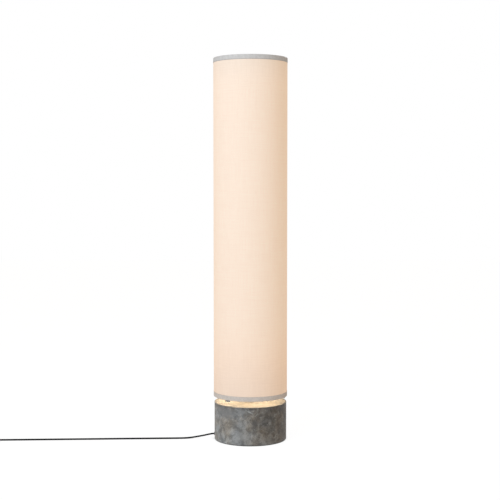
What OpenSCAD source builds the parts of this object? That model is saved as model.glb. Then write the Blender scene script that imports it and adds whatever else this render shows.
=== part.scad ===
// Column floor lamp: a tall fabric shade over a low stone drum.
// Millimetres, +Z up, origin on the lamp's axis at the floor. The cord leaves towards -X.

/* [Overall] */
// Height from the floor to the top edge of the shade
lamp_h = 1200; // [1140:10:1500]
// Open gap between the top face of the stone and the lower edge of the shade
light_gap = 19; // [16:1:40]

/* [Stone drum] */
// Diameter of the stone drum
stone_d = 228; // [224:1:300]
// Height of the top face of the stone above the floor
stone_top = 120; // [80:1:180]
// Rounding of the edges of the drum
stone_edge_r = 1.5; // [0.5:0.5:4]
// Diameter of the wiring recess cut into the stone from below
recess_d = 150; // [130:1:160]
// Height of the wiring recess above the seat of the cover plate
recess_h = 39; // [36:1:45]

/* [Underside of the drum] */
// Thickness of the felt ring that the lamp stands on
felt_t = 2; // [1:0.5:4]
// Width of the felt ring
felt_w = 13; // [8:1:14]
// Distance from the edge of the stone to the felt ring
felt_inset = 7; // [3:1:7]
// Diameter of the steel cover plate
cover_d = 180; // [176:1:182]
// Thickness of the cover plate
cover_t = 2.5; // [1.5:0.5:3]
// Depth of the rebate that the cover plate lies in
rebate_h = 3; // [3:0.5:6]
// Nominal diameter of the three cover screws
cover_screw_d = 4; // [3:0.5:5]
// Length of the three cover screws
cover_screw_l = 12; // [8:1:14]

/* [Column] */
// Outside diameter of the steel stem
stem_d = 16; // [15:0.5:20]
// Wall of the stem
stem_wall = 1.5; // [1:0.25:2]
// Diameter of the threaded tube that clamps the column to the stone
rod_d = 10; // [9.5:0.5:10.5]
// Bore of the threaded tube, for the wires
rod_bore = 7; // [6.5:0.5:7.5]
// Diameter of the round foot plate on the stone
foot_d = 40; // [38:1:110]
// Thickness of the foot plate
foot_t = 3; // [2:0.5:5]
// Diameter of the boss on the foot plate
boss_d = 28; // [26:1:36]

/* [Guide star] */
// Depth of the ends of the lips below the lower edge of the shade
star_drop = 6; // [2:0.5:7]
// Width of each arm of the guide star at its lip
arm_w = 20; // [12:1:30]
// Thickness of the arms and their lips
arm_t = 2; // [1.5:0.5:3]
// Height of the guide star, from the ends of its lips to the top of its arms
lip_h = 16; // [13:1:24]
// Compass direction of the first arm, counted from +X towards +Y
arm_turn = 230; // [0:1:359]

/* [Light] */
// How much shorter than the lamp's height each light tube is
tube_short = 305.4; // [280:0.1:620]
// Diameter of the light tubes
tube_d = 26; // [24:0.5:27]
// Distance from the axis of the stem to the axis of each tube
tube_off = 30; // [28:1:50]
// Length of the caps on the tubes
cap_l = 18; // [12:1:30]
// Height of the lampholders
holder_h = 18; // [16:1:24]
// Diameter of the lampholders
holder_d = 28; // [26:1:30]
// Height of the collar on each bracket
collar_h = 14; // [10:1:16]
// Thickness of the plate of each bracket
bracket_t = 2; // [1.5:0.5:4]

/* [Shade] */
// Outside diameter of the fabric
shade_d = 232; // [226:1:320]
// Thickness of the fabric with its backing sheet
fabric_t = 1.2; // [0.8:0.1:2]
// Height of the tape bands at the two edges
tape_h = 15; // [12:1:30]
// Thickness of the tape
tape_t = 0.4; // [0.3:0.1:0.8]
// Diameter of the wire of the rings
wire_d = 3.5; // [3.2:0.1:5]
// Diameter of the wire of the spider's three spokes
spoke_d = 3; // [2:0.5:3]
// Depth of the spider's hub below the top edge of the shade
hub_drop = 24.7; // [23:0.1:40]
// Width of the lap seam at the back of the shade
seam_w = 12; // [8:1:20]

/* [Cord and switch] */
// Diameter of the cord
cord_d = 5; // [4.5:0.1:5]
// Length of the foot switch
switch_l = 96; // [90:1:110]
// Width of the foot switch
switch_w = 36; // [32:1:44]
// Height of the foot switch with the pedal up
switch_h = 24; // [23:1:30]
// Travel of the pedal
pedal_travel = 3; // [1:0.5:3]
// Length of the body of the plug with its boot
plug_l = 50; // [44:1:54]
// Width of the plug
plug_w = 35.3; // [30:0.1:38]
// Thickness of the plug
plug_t = 13.7; // [12:0.1:16]

/* [Hidden] */

// Facets of large and of small rounds
big_fn = 128;
small_fn = 32;
// Gaps: a push fit, a glued face, and a clearance between pieces that move apart
fit_gap = 0.1;
glue_gap = 0.05;
move_gap = 0.3;
// A cut runs past the face that it opens by this much
cut = 1;
// A blind or a clearance hole is this much larger than what it holds
hole_spare = 0.5;

// Heights of the base, from the floor up
cover_seat = felt_t + rebate_h;
recess_top = cover_seat + recess_h;
rebate_gap = 1;
washer_t = 2.5;
nut_h = 6;
nut_flats = 17;
hex_corner = 1 / cos(30);
rod_tail = 4;
rod_low = recess_top - washer_t - nut_h - rod_tail;
washer_d = 34;
// The cable hole and its bushing
cable_z = 15;
cable_hole_d = 8.6;
bushing_flange_d = 11;
bushing_flange_t = 2.2;
bushing_proud = 1.1;
bushing_l = 30;
bushing_tip_d = 6.6;
spot_depth = bushing_flange_t - bushing_proud;
cord_exit_x = -(stone_d / 2 + bushing_proud);
// What stands on the cover plate inside the recess
clamp_x = -58;
clamp_size = [12, 30, 16];
clamp_screw_off = 10.5;
clamp_screw_d = 3;
clamp_screw_l = 12;
clamp_head_d = 5.5;
clamp_head_h = 2.5;
clamp_floor = 2;
block_size = [24, 22, 17];
block_x = -24;
block_hole_d = 4;
block_hole_depth = 6;
block_way = 5;
block_cut = [1.5, 4];
wire_off = 1.8;
wire_core_d = 2.2;
// Cover screws and their inserts sit in the land round the recess
land_r = (recess_d + cover_d) / 4;
insert_d = cover_screw_d + 3;
insert_h = 12;
// Width over corners and depth of their hexagon drive
cover_drive = [2.8, 1.4];
screw_head_d = 2 * cover_screw_d;
screw_head_h = cover_screw_d / 2;

// Heights of the column
foot_top = stone_top + foot_t;
stem_seat = 1;
stem_foot = foot_top + stem_seat;
boss_top = stone_top + light_gap - star_drop + lip_h - arm_t;
boss_h = boss_top - foot_top;
bush_h = 15;
rod_below_bush = 1;
star_top = boss_top + arm_t;
plate_low = star_top + collar_h;
plate_top = plate_low + bracket_t;
holder_gap = 0.5;
tube_foot = plate_top + holder_h + holder_gap;
tube_len = lamp_h - tube_short;
tube_head = tube_foot + tube_len;
tube_mid = (tube_foot + tube_head) / 2;
hub_low = lamp_h - hub_drop;
pin_flange_t = 3;
stem_head = hub_low - move_gap - pin_flange_t;
wire_rise = 8.5;
wire_z = plate_top + wire_rise;
wire_hole_d = 9;
collar_wall = 4;
collar_d = stem_d + 2 * collar_wall;
bracket_rim = 1;
bracket_w = holder_d + 2 * bracket_rim;
grub_d = 4;
grub_l = collar_wall;
grub_drive_depth = 2;

// Contacts of the light tubes
pin_d = 2.35;
pin_l = 6.8;
pin_off = 6.35;
rotor_d = 18.4;
rotor_t = 7.4;
rotor_floor = 1.2;
rotor_slot_w = 2.8;
entry_slot_w = 3;
cap_wall = 0.6;
cap_end = 2;
diffuser_wall = 1;
board_t = 1.5;
board_y = 6.5;
board_end = 1;
holder_screw_d = 3;
holder_screw_l = 8;
holder_head_d = 5.5;
holder_head_h = 2;

// Radii of the shade and of what runs inside it
shade_low = stone_top + light_gap;
fabric_r = shade_d / 2;
fabric_in = fabric_r - fabric_t;
tape_r = fabric_r + glue_gap + tape_t;
ring_r = fabric_in - glue_gap - wire_d / 2;
ring_lift = tape_t + glue_gap + wire_d / 2;
hem_r = wire_d / 2 + glue_gap + tape_t;
lip_gap = 0.4;
lip_r = ring_r - hem_r - lip_gap;
star_hub_d = 40;
arm_flare = 5;
arm_bend = 3;
bend_inside = arm_t * (sqrt(2) - 1);
seam_t = 0.4;
seam_lead = 1;
// The spider's hub and its three spokes
hub_d = 30;
sleeve_d = 16;
sleeve_h = 15;
pin_bore = 8.6;
top_pin_d = pin_bore - 2 * move_gap;
top_pin_l = 17;
top_pin_root = 15;
pin_flange_d = 20;
pin_tip = 3;
spoke_bend_in = 13;
spoke_lap = 4;
spoke_turn = 90;

// The foot switch lies along the cord, just past the visible stretch
switch_x = -883;
switch_y = -36;
switch_end_x = [switch_x + switch_l / 2, switch_x - switch_l / 2];
switch_wall = 2;
switch_cover_wall = 3;
switch_foot_h = 1.5;
switch_split = 12;
switch_roof = switch_h - 4;
switch_cord_z = 8;
pedal_l = 40;
pedal_w = 22;
pedal_rim = 1;
pedal_flange = [45, 26, 1.5];
pedal_groove_w = 1.6;
pedal_groove_step = 4;
edge_soft = 2.5;
switch_screw_off = 34;
switch_screw_d = 2.5;
switch_head_d = 5;
switch_screw_short = 2;
post_d = 7;
switch_foot_off = [20, 11];
switch_foot_d = 7;
spring_d = 8;
spring_wire = 0.8;
spring_turns = 4;
contact_size = [10, 5, 1.5];
contact_off = 14;
// The pressed pedal stays clear of the contacts by this much
pedal_room = 5;
pedal_skirt = switch_foot_h + switch_wall + contact_size.z + pedal_travel + pedal_room;
switch_ceiling = switch_roof - switch_wall;

// The coil: turns wind in along the floor, climb, and wind out again on top
coil_in_r = 20.7;
coil_pitch = 5.6;
coil_turns = 7.25;
coil_from = 270;
coil_steps = 24;
coil_out_r = coil_in_r + coil_pitch * coil_turns / 2;
coil_x = -985;
coil_y = switch_y + coil_out_r;
coil_lead = 5;
tie_t = 0.5;
tie_w = 8;
tie_room = 0.1;
coil_low = tie_t + tie_room + cord_d / 2;
coil_high = coil_low + coil_pitch;
// The plug lies beside the coil and points to the back
plug_x = coil_x - coil_out_r;
plug_off = 41;
plug_y = coil_y + plug_off;
plug_z = plug_t / 2;
plug_pin_d = 4;
plug_pin_l = 19;
plug_pin_tip = [1, 2.5];
plug_pin_spread = 9.3;
// Length of its boot, depth of its front block, and its neck's share of width and thickness
boot_l = 22;
plug_front = 4;
plug_neck = [0.55, 0.85, 2];
boot_d = [7, 10];
boot_ribs = 4;
boot_rib = [9, 2, 0.6];
boot_rib_from = 3;
boot_rib_step = 4.5;

// Route of the cord from the bushing to the switch, chosen by hand to follow the photograph
LEAD = [
    [cord_exit_x, 0, cable_z], [-120, -0.2, 14.8], [-127, -0.8, 13.9], [-136, -1.5, 12.2],
    [-148, -2.3, 9.8], [-160, -3.1, 7.7], [-172, -4.1, 5.8], [-184, -5.4, 4.2],
    [-196, -6.9, 3.1], [-210, -8.6, 2.6], [-226, -10, 2.5], [-255, -11.4, 2.5],
    [-285, -12.5, 2.5], [-315, -13.6, 2.5], [-345, -14.8, 2.5], [-375, -16.1, 2.5],
    [-405, -17.5, 2.5], [-435, -19, 2.5], [-465, -20.5, 2.5], [-495, -21.9, 2.5],
    [-525, -23.2, 2.5], [-555, -24.5, 2.5], [-585, -25.8, 2.5], [-615, -27.2, 2.5],
    [-645, -28.6, 2.5], [-675, -30, 2.5], [-705, -31.4, 2.5], [-735, -32.8, 2.5],
    [-765, -34.1, 2.5], [-790, -35.1, 2.5], [-805, -35.6, 2.8], [-816, -35.9, 4.5],
    [-825, -36, 6.8], [-831, -36, 7.9], [switch_end_x[0], switch_y, switch_cord_z]
];
// Route from the switch down to the coil
MIDDLE = [
    [switch_end_x[1], switch_y, switch_cord_z], [-935, -36, 8], [-943, -36, 7.2],
    [-952, -36, 5.6], [-962, -36, 4], [-970, -36, 3.2], [-976, -36, 3.1],
    [coil_x + coil_lead, switch_y, coil_low]
];
// Route from the coil to the boot of the plug
TAIL = [
    [plug_x, coil_y + coil_lead, coil_high], [-1026, 14, 8.7], [-1026, 20, 8.4],
    [-1026, 27, 7.8], [-1026, 34, 7.2], [-1026, 41, 6.9], [plug_x, plug_y, plug_z]
];

// ---------------------------------------------------------------- shared shapes

// Unit vector along v
function unit(v) = v / norm(v);

// Direction of a route at its point i
function heading(p, i) = unit(p[min(i + 1, len(p) - 1)] - p[max(i - 1, 0)]);

// A point between points i and i + 1 that keeps the route smooth
function between(p, i) =
    (9 * (p[i] + p[i + 1]) - p[max(i - 1, 0)] - p[min(i + 2, len(p) - 1)]) / 16;

// A route with one smooth point added in each of its spans
function smooth(p) = concat(
    [for (i = [0:len(p) - 2]) each [p[i], between(p, i)]],
    [p[len(p) - 1]]
);

// The points of a tube's skin round point i of its route
function skin_ring(p, i, r, sides) =
    let (t = heading(p, i), s = unit(cross(t, [0, 0, 1])), u = cross(s, t))
    [for (k = [0:sides - 1])
        let (a = 360 * (k + 0.5) / sides) p[i] + r * (cos(a) * s + sin(a) * u)];

// A solid tube swept along the points of a route
module tube_along(p, d, sides) {
    n = len(p);
    skin = [for (i = [0:n - 1]) each skin_ring(p, i, d / 2, sides)];
    walls = [for (i = [0:n - 2], k = [0:sides - 1])
        let (a = i * sides + k, b = i * sides + (k + 1) % sides)
        each [[a, a + sides, b + sides], [a, b + sides, b]]];
    near_end = [for (k = [1:sides - 2]) [0, k, k + 1]];
    far = (n - 1) * sides;
    far_end = [for (k = [1:sides - 2]) [far, far + k + 1, far + k]];
    polyhedron(points = skin, faces = concat(walls, near_end, far_end));
}

// A plate of two half circles joined by a rectangle, centred, long side along X
module stadium(l, w) {
    for (side = [-1, 1])
        translate([side * (l - w) / 2, 0])
            circle(d = w, $fn = small_fn * 2);
    square([l - w, w], center = true);
}

// A disc or sleeve standing on the given height
module sleeve(z, h, d, bore = 0, fn = small_fn * 2) {
    translate([0, 0, z])
        difference() {
            cylinder(d = d, h = h, $fn = fn);
            if (bore > 0)
                translate([0, 0, -cut])
                    cylinder(d = bore, h = h + 2 * cut, $fn = fn);
        }
}

// Copies to three places round the axis
module three_times(turn = 0) {
    for (i = [0:2])
        rotate(turn + i * 120)
            children();
}

// Copies to the left and the right tube
module at_both_tubes() {
    for (side = [-1, 1])
        translate([side * tube_off, 0, 0])
            children();
}

// The same piece at the other end of the light tubes
module at_upper_end() {
    translate([0, 0, 2 * tube_mid])
        mirror([0, 0, 1])
            children();
}

// ---------------------------------------------------------------- stone drum

module felt_ring()
    color([0.16, 0.16, 0.16])
        sleeve(0, felt_t, stone_d - 2 * felt_inset, stone_d - 2 * (felt_inset + felt_w), big_fn);

// Half section of the drum without its recess
module drum_section() {
    r = stone_d / 2;
    h = stone_top - felt_t;
    square([r - stone_edge_r, h]);
    translate([0, stone_edge_r])
        square([r, h - 2 * stone_edge_r]);
    for (y = [stone_edge_r, h - stone_edge_r])
        translate([r - stone_edge_r, y])
            circle(r = stone_edge_r, $fn = small_fn);
}

module stone_base()
    color([0.42, 0.41, 0.39])
        difference() {
            translate([0, 0, felt_t])
                rotate_extrude($fn = big_fn)
                    drum_section();
            // rebate for the cover plate and the recess above it
            translate([0, 0, felt_t - cut])
                cylinder(d = cover_d + 2 * rebate_gap, h = rebate_h + cut, $fn = big_fn);
            translate([0, 0, felt_t])
                cylinder(d = recess_d, h = rebate_h + recess_h, $fn = big_fn);
            // bore for the threaded tube
            translate([0, 0, recess_top - cut])
                cylinder(d = rod_d + 2 * hole_spare, h = stone_top, $fn = small_fn);
            // blind holes for the inserts
            three_times()
                translate([land_r, 0, cover_seat - cut])
                    cylinder(
                        d = insert_d + 2 * glue_gap, h = insert_h + hole_spare + cut,
                        $fn = small_fn
                    );
            // cable hole with a flat seat for the flange of the bushing
            translate([-stone_d / 2 - cut, 0, cable_z])
                rotate([0, 90, 0]) {
                    cylinder(d = cable_hole_d, h = (stone_d - recess_d) / 2 + 3 * cut, $fn = small_fn);
                    cylinder(
                        d = bushing_flange_d + 4 * fit_gap, h = spot_depth + cut, $fn = small_fn
                    );
                }
        }

module cover_plate()
    color([0.25, 0.25, 0.26])
        translate([0, 0, cover_seat - cover_t])
            difference() {
                cylinder(d = cover_d, h = cover_t, $fn = big_fn);
                three_times()
                    translate([land_r, 0, 0]) {
                        translate([0, 0, -cut])
                            cylinder(
                                d = cover_screw_d + 2 * move_gap, h = cover_t + 2 * cut,
                                $fn = small_fn
                            );
                        cylinder(
                            d1 = screw_head_d + 4 * fit_gap, d2 = cover_screw_d + 4 * fit_gap,
                            h = screw_head_h, $fn = small_fn
                        );
                    }
            }

module cover_screws()
    color([0.7, 0.7, 0.72])
        three_times()
            translate([land_r, 0, cover_seat - cover_t])
                difference() {
                    union() {
                        cylinder(
                            d1 = screw_head_d, d2 = cover_screw_d,
                            h = screw_head_h, $fn = small_fn
                        );
                        cylinder(d = cover_screw_d, h = cover_screw_l, $fn = small_fn);
                    }
                    // hexagon drive
                    translate([0, 0, -cut])
                        cylinder(d = cover_drive[0], h = cut + cover_drive[1], $fn = 6);
                }

module cover_inserts()
    color([0.78, 0.62, 0.3])
        three_times()
            translate([land_r, 0, 0])
                sleeve(cover_seat + glue_gap, insert_h, insert_d, cover_screw_d + fit_gap);

// ---------------------------------------------------------------- wiring in the drum

module cord_bushing()
    color([0.06, 0.06, 0.06])
        translate([cord_exit_x, 0, cable_z])
            rotate([0, 90, 0])
                difference() {
                    union() {
                        cylinder(d = bushing_flange_d, h = bushing_flange_t - glue_gap, $fn = small_fn);
                        cylinder(
                            d = cable_hole_d - 2 * fit_gap, h = bushing_l * 0.5, $fn = small_fn
                        );
                        translate([0, 0, bushing_l * 0.5])
                            cylinder(
                                d1 = cable_hole_d - 2 * fit_gap, d2 = bushing_tip_d,
                                h = bushing_l * 0.5, $fn = small_fn
                            );
                    }
                    translate([0, 0, -cut])
                        cylinder(d = cord_d + 2 * fit_gap, h = bushing_l + 2 * cut, $fn = small_fn);
                }

module inner_cord()
    color([0.08, 0.08, 0.08])
        translate([cord_exit_x, 0, cable_z])
            rotate([0, 90, 0])
                cylinder(
                    d = cord_d, h = block_x - block_size.x / 2 - cord_exit_x, $fn = small_fn
                );

module cord_clamp()
    color([0.85, 0.85, 0.82])
        difference() {
            translate([clamp_x - clamp_size.x / 2, -clamp_size.y / 2, cover_seat])
                cube(clamp_size);
            translate([clamp_x - clamp_size.x, 0, cable_z])
                rotate([0, 90, 0])
                    cylinder(d = cord_d + 2 * fit_gap, h = 2 * clamp_size.x, $fn = small_fn);
            for (side = [-1, 1])
                translate([clamp_x, side * clamp_screw_off, cover_seat + clamp_floor])
                    cylinder(d = clamp_screw_d + 2 * fit_gap, h = clamp_size.z, $fn = small_fn);
        }

module clamp_screws()
    color([0.7, 0.7, 0.72])
        for (side = [-1, 1])
            translate([clamp_x, side * clamp_screw_off, cover_seat + clamp_size.z]) {
                cylinder(d = clamp_head_d, h = clamp_head_h, $fn = small_fn);
                translate([0, 0, -clamp_screw_l])
                    cylinder(d = clamp_screw_d, h = clamp_screw_l, $fn = small_fn);
            }

module terminal_block()
    color([0.9, 0.9, 0.86])
        difference() {
            translate([block_x - block_size.x / 2, -block_size.y / 2, cover_seat])
                cube(block_size);
            for (side = [-1, 1], step = [-1, 1])
                translate([
                    block_x + side * block_way, step * block_way,
                    cover_seat + block_size.z - block_hole_depth
                ])
                    cylinder(d = block_hole_d, h = block_hole_depth + cut, $fn = small_fn);
            // a saw cut between the two ways
            translate([block_x, 0, cover_seat + block_size.z])
                cube([block_size.x + 2 * cut, block_cut[0], block_cut[1]], center = true);
        }

// Two insulated wires: out of the block, up the stem and out to both lower lampholders
module feed_wires()
    color([0.55, 0.3, 0.16])
        for (side = [-1, 1])
            translate([0, side * wire_off, 0]) {
                start = block_x + block_size.x / 2;
                reach = tube_off - holder_d / 2;
                translate([start, 0, cable_z])
                    rotate([0, 90, 0])
                        cylinder(d = wire_core_d, h = -start, $fn = small_fn);
                translate([0, 0, cable_z])
                    sphere(d = wire_core_d, $fn = small_fn);
                translate([0, 0, cable_z])
                    cylinder(d = wire_core_d, h = wire_z - cable_z, $fn = small_fn);
                translate([-reach, 0, wire_z])
                    rotate([0, 90, 0])
                        cylinder(d = wire_core_d, h = 2 * reach, $fn = small_fn);
            }

// ---------------------------------------------------------------- column

module threaded_tube()
    color([0.72, 0.7, 0.62])
        sleeve(rod_low, stem_foot + bush_h - rod_below_bush - rod_low, rod_d, rod_bore);

module clamp_washer()
    color([0.7, 0.7, 0.72])
        sleeve(recess_top - washer_t, washer_t, washer_d, rod_d + hole_spare);

module hex_nut()
    color([0.7, 0.7, 0.72])
        translate([0, 0, recess_top - washer_t - nut_h])
            difference() {
                cylinder(d = nut_flats * hex_corner, h = nut_h, $fn = 6);
                translate([0, 0, -cut])
                    cylinder(d = rod_d + fit_gap, h = nut_h + 2 * cut, $fn = small_fn * 2);
            }

module foot_plate()
    color([0.5, 0.5, 0.5])
        difference() {
            union() {
                translate([0, 0, stone_top])
                    rotate_extrude($fn = big_fn)
                        union() {
                            square([foot_d / 2 - foot_t / 2, foot_t]);
                            translate([foot_d / 2 - foot_t / 2, 0])
                                square([foot_t / 2, foot_t / 2]);
                            translate([foot_d / 2 - foot_t / 2, foot_t / 2])
                                circle(d = foot_t, $fn = small_fn);
                        }
                translate([0, 0, stone_top])
                    cylinder(d = boss_d, h = foot_t + boss_h, $fn = small_fn * 2);
            }
            translate([0, 0, stone_top - cut])
                cylinder(d = rod_d + 2 * fit_gap, h = foot_t + boss_h, $fn = small_fn * 2);
            translate([0, 0, stem_foot])
                cylinder(d = stem_d + 2 * fit_gap, h = boss_h + cut, $fn = small_fn * 2);
        }

module stem()
    color([0.62, 0.62, 0.63])
        difference() {
            sleeve(stem_foot, stem_head - stem_foot, stem_d, stem_d - 2 * stem_wall);
            // side holes where the feed wires come out
            translate([-stem_d, 0, wire_z])
                rotate([0, 90, 0])
                    cylinder(d = wire_hole_d, h = 2 * stem_d, $fn = small_fn);
        }

module stem_bush()
    color([0.78, 0.62, 0.3])
        sleeve(stem_foot, bush_h, stem_d - 2 * stem_wall - fit_gap, rod_d + fit_gap);

// Three pressed arms with lips bent down, which centre the bottom ring of the shade
module guide_star()
    color([0.75, 0.75, 0.76])
        translate([0, 0, star_top - lip_h])
            difference() {
                intersection() {
                    rotate_extrude($fn = big_fn)
                        polygon([
                            [0, lip_h], [0, lip_h - arm_t],
                            [lip_r - arm_bend - bend_inside, lip_h - arm_t],
                            [lip_r - arm_t, lip_h - arm_bend - bend_inside],
                            [lip_r - arm_t, 0], [lip_r, 0],
                            [lip_r, lip_h - arm_bend], [lip_r - arm_bend, lip_h]
                        ]);
                    linear_extrude(lip_h) {
                        circle(d = star_hub_d, $fn = small_fn * 2);
                        three_times(arm_turn)
                            polygon([
                                [0, -arm_w / 2 - arm_flare], [lip_r + cut, -arm_w / 2],
                                [lip_r + cut, arm_w / 2], [0, arm_w / 2 + arm_flare]
                            ]);
                    }
                }
                translate([0, 0, lip_h - arm_t - cut])
                    cylinder(d = stem_d + 2 * fit_gap, h = arm_t + 2 * cut, $fn = small_fn * 2);
            }

// ---------------------------------------------------------------- light

// A plate across the stem that carries two lampholders, with a collar below it
module bracket()
    difference() {
        union() {
            translate([0, 0, plate_low])
                linear_extrude(bracket_t)
                    stadium(2 * tube_off + bracket_w, bracket_w);
            translate([0, 0, star_top])
                cylinder(d = collar_d, h = collar_h + bracket_t, $fn = small_fn * 2);
        }
        translate([0, 0, star_top - cut])
            cylinder(
                d = stem_d + 2 * fit_gap, h = collar_h + bracket_t + 2 * cut, $fn = small_fn * 2
            );
        // hole for the grub screw, at the back
        translate([0, 0, star_top + collar_h / 2])
            rotate([-90, 0, 0])
                cylinder(d = grub_d + fit_gap, h = collar_d, $fn = small_fn);
        at_both_tubes()
            translate([0, 0, plate_low - cut])
                cylinder(d = holder_screw_d + 2 * fit_gap, h = bracket_t + 2 * cut, $fn = small_fn);
    }

module lower_bracket()
    color([0.75, 0.75, 0.76])
        bracket();

module upper_bracket()
    color([0.75, 0.75, 0.76])
        at_upper_end()
            bracket();

// One grub screw, its tip on the stem
module grub_screw()
    translate([0, stem_d / 2 + glue_gap, star_top + collar_h / 2])
        rotate([-90, 0, 0])
            difference() {
                cylinder(d = grub_d, h = grub_l, $fn = small_fn);
                translate([0, 0, grub_l - grub_drive_depth])
                    cylinder(d = grub_d / 2, h = grub_drive_depth + cut, $fn = 6);
            }

module grub_screws()
    color([0.2, 0.2, 0.2]) {
        grub_screw();
        at_upper_end()
            grub_screw();
    }

module holder_screw_pair()
    at_both_tubes() {
        sleeve(plate_low - holder_head_h, holder_head_h, holder_head_d);
        sleeve(plate_low - holder_head_h, holder_head_h + bracket_t + holder_screw_l, holder_screw_d);
    }

module holder_screws()
    color([0.7, 0.7, 0.72]) {
        holder_screw_pair();
        at_upper_end()
            holder_screw_pair();
    }

// Two lampholders on a bracket, each with a round seat for its rotor and an entry slot
module holder_pair() {
    seat_top = plate_top + holder_h;
    seat_depth = rotor_t + 2 * move_gap;
    at_both_tubes()
        difference() {
            translate([0, 0, plate_top])
                cylinder(d = holder_d, h = holder_h, $fn = small_fn * 2);
            translate([0, 0, seat_top - seat_depth])
                cylinder(d = rotor_d + 2 * move_gap, h = seat_depth + cut, $fn = small_fn * 2);
            translate([-entry_slot_w / 2, -holder_d, seat_top - seat_depth])
                cube([entry_slot_w, holder_d, seat_depth + cut]);
            translate([0, 0, plate_top - cut])
                cylinder(
                    d = holder_screw_d + fit_gap, h = holder_screw_l + cut + hole_spare,
                    $fn = small_fn
                );
        }
}

module lower_holders()
    color([0.93, 0.93, 0.9])
        holder_pair();

module upper_holders()
    color([0.93, 0.93, 0.9])
        at_upper_end()
            holder_pair();

// One end of a light tube, on the axis of the tube: the cap, the pins and the rotor
module cap_end_piece()
    translate([0, 0, tube_foot])
        difference() {
            cylinder(d = tube_d + 2 * cap_wall, h = cap_l, $fn = small_fn * 2);
            translate([0, 0, cap_end])
                cylinder(d = tube_d + 2 * glue_gap, h = cap_l, $fn = small_fn * 2);
        }

module pin_pair()
    for (side = [-1, 1])
        translate([side * pin_off, 0, tube_foot - pin_l])
            cylinder(d = pin_d, h = pin_l, $fn = small_fn);

module rotor() {
    top = tube_foot - holder_gap - move_gap;
    difference() {
        translate([0, 0, top - rotor_t])
            cylinder(d = rotor_d, h = rotor_t, $fn = small_fn * 2);
        translate([-rotor_d, -rotor_slot_w / 2, top - rotor_t + rotor_floor])
            cube([2 * rotor_d, rotor_slot_w, rotor_t]);
    }
}

module diffuser()
    sleeve(
        tube_foot + cap_end + glue_gap, tube_len - 2 * (cap_end + glue_gap),
        tube_d, tube_d - 2 * diffuser_wall
    );

module board() {
    half = sqrt(pow(tube_d / 2 - diffuser_wall, 2) - pow(board_y + board_t, 2)) - fit_gap;
    translate([-half, board_y, tube_foot + cap_end + board_end])
        cube([2 * half, board_t, tube_len - 2 * (cap_end + board_end)]);
}

// A piece of a tube at the left (-1) or the right (1) of the stem
module on_side(side)
    translate([side * tube_off, 0, 0])
        children();

// A piece at both ends of the tube on that side
module at_both_ends(side)
    on_side(side) {
        children();
        at_upper_end()
            children();
    }

module left_diffuser() color([1, 0.93, 0.8]) on_side(-1) diffuser();
module right_diffuser() color([1, 0.93, 0.8]) on_side(1) diffuser();
module left_caps() color([0.8, 0.8, 0.8]) at_both_ends(-1) cap_end_piece();
module right_caps() color([0.8, 0.8, 0.8]) at_both_ends(1) cap_end_piece();
module left_pins() color([0.78, 0.62, 0.3]) at_both_ends(-1) pin_pair();
module right_pins() color([0.78, 0.62, 0.3]) at_both_ends(1) pin_pair();
module left_board() color([0.9, 0.9, 0.9]) on_side(-1) board();
module right_board() color([0.9, 0.9, 0.9]) on_side(1) board();
module left_rotors() color([0.95, 0.95, 0.95]) at_both_ends(-1) rotor();
module right_rotors() color([0.95, 0.95, 0.95]) at_both_ends(1) rotor();

// ---------------------------------------------------------------- shade

// Brass pin in the head of the stem, which the hub of the spider drops over
module top_pin()
    color([0.78, 0.62, 0.3]) {
        sleeve(stem_head - top_pin_root, top_pin_root, stem_d - 2 * stem_wall - fit_gap);
        sleeve(stem_head, pin_flange_t, pin_flange_d);
        sleeve(stem_head + pin_flange_t, top_pin_l - pin_tip, top_pin_d);
        translate([0, 0, stem_head + pin_flange_t + top_pin_l - pin_tip])
            cylinder(d1 = top_pin_d, d2 = top_pin_d / 2, h = pin_tip, $fn = small_fn * 2);
    }

// One spoke: level from the hub, then up to the top ring
module spoke(extra = 0) {
    bend = [ring_r - spoke_bend_in, hub_low + wire_d / 2];
    tip = [ring_r, lamp_h - ring_lift];
    slope = tip - bend;
    root = hub_d / 2 - spoke_lap;
    translate([root, 0, bend.y])
        rotate([0, 90, 0])
            cylinder(d = spoke_d + extra, h = bend.x - root, $fn = small_fn);
    translate([bend.x, 0, bend.y]) {
        sphere(d = spoke_d + extra, $fn = small_fn);
        rotate([0, atan2(slope.x, slope.y), 0])
            cylinder(d = spoke_d + extra, h = norm(slope), $fn = small_fn);
    }
}

module top_spider()
    color([0.75, 0.75, 0.75]) {
        translate([0, 0, lamp_h - ring_lift])
            rotate_extrude($fn = big_fn)
                translate([ring_r, 0])
                    circle(d = wire_d, $fn = small_fn);
        difference() {
            union() {
                sleeve(hub_low, wire_d, hub_d);
                sleeve(hub_low, sleeve_h, sleeve_d);
                three_times(spoke_turn)
                    spoke();
            }
            translate([0, 0, hub_low - cut])
                cylinder(d = pin_bore, h = sleeve_h + 2 * cut, $fn = small_fn * 2);
        }
    }

module bottom_ring()
    color([0.75, 0.75, 0.75])
        translate([0, 0, shade_low + ring_lift])
            rotate_extrude($fn = big_fn)
                translate([ring_r, 0])
                    circle(d = wire_d, $fn = small_fn);

module shade_fabric()
    color([0.96, 0.91, 0.84]) {
        low = shade_low + tape_t + glue_gap;
        high = lamp_h - tape_t - glue_gap;
        seam_angle = seam_w / fabric_r * 180 / PI;
        sleeve(low, high - low, shade_d, 2 * fabric_in, big_fn);
        // lap of the fabric over itself, at the back
        translate([0, 0, shade_low + tape_h + seam_lead])
            rotate(90 - seam_angle / 2)
                rotate_extrude(angle = seam_angle, $fn = big_fn)
                    translate([fabric_in + fabric_t / 2, 0])
                        square([
                            fabric_t / 2 + seam_t,
                            lamp_h - shade_low - 2 * (tape_h + seam_lead)
                        ]);
    }

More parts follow.
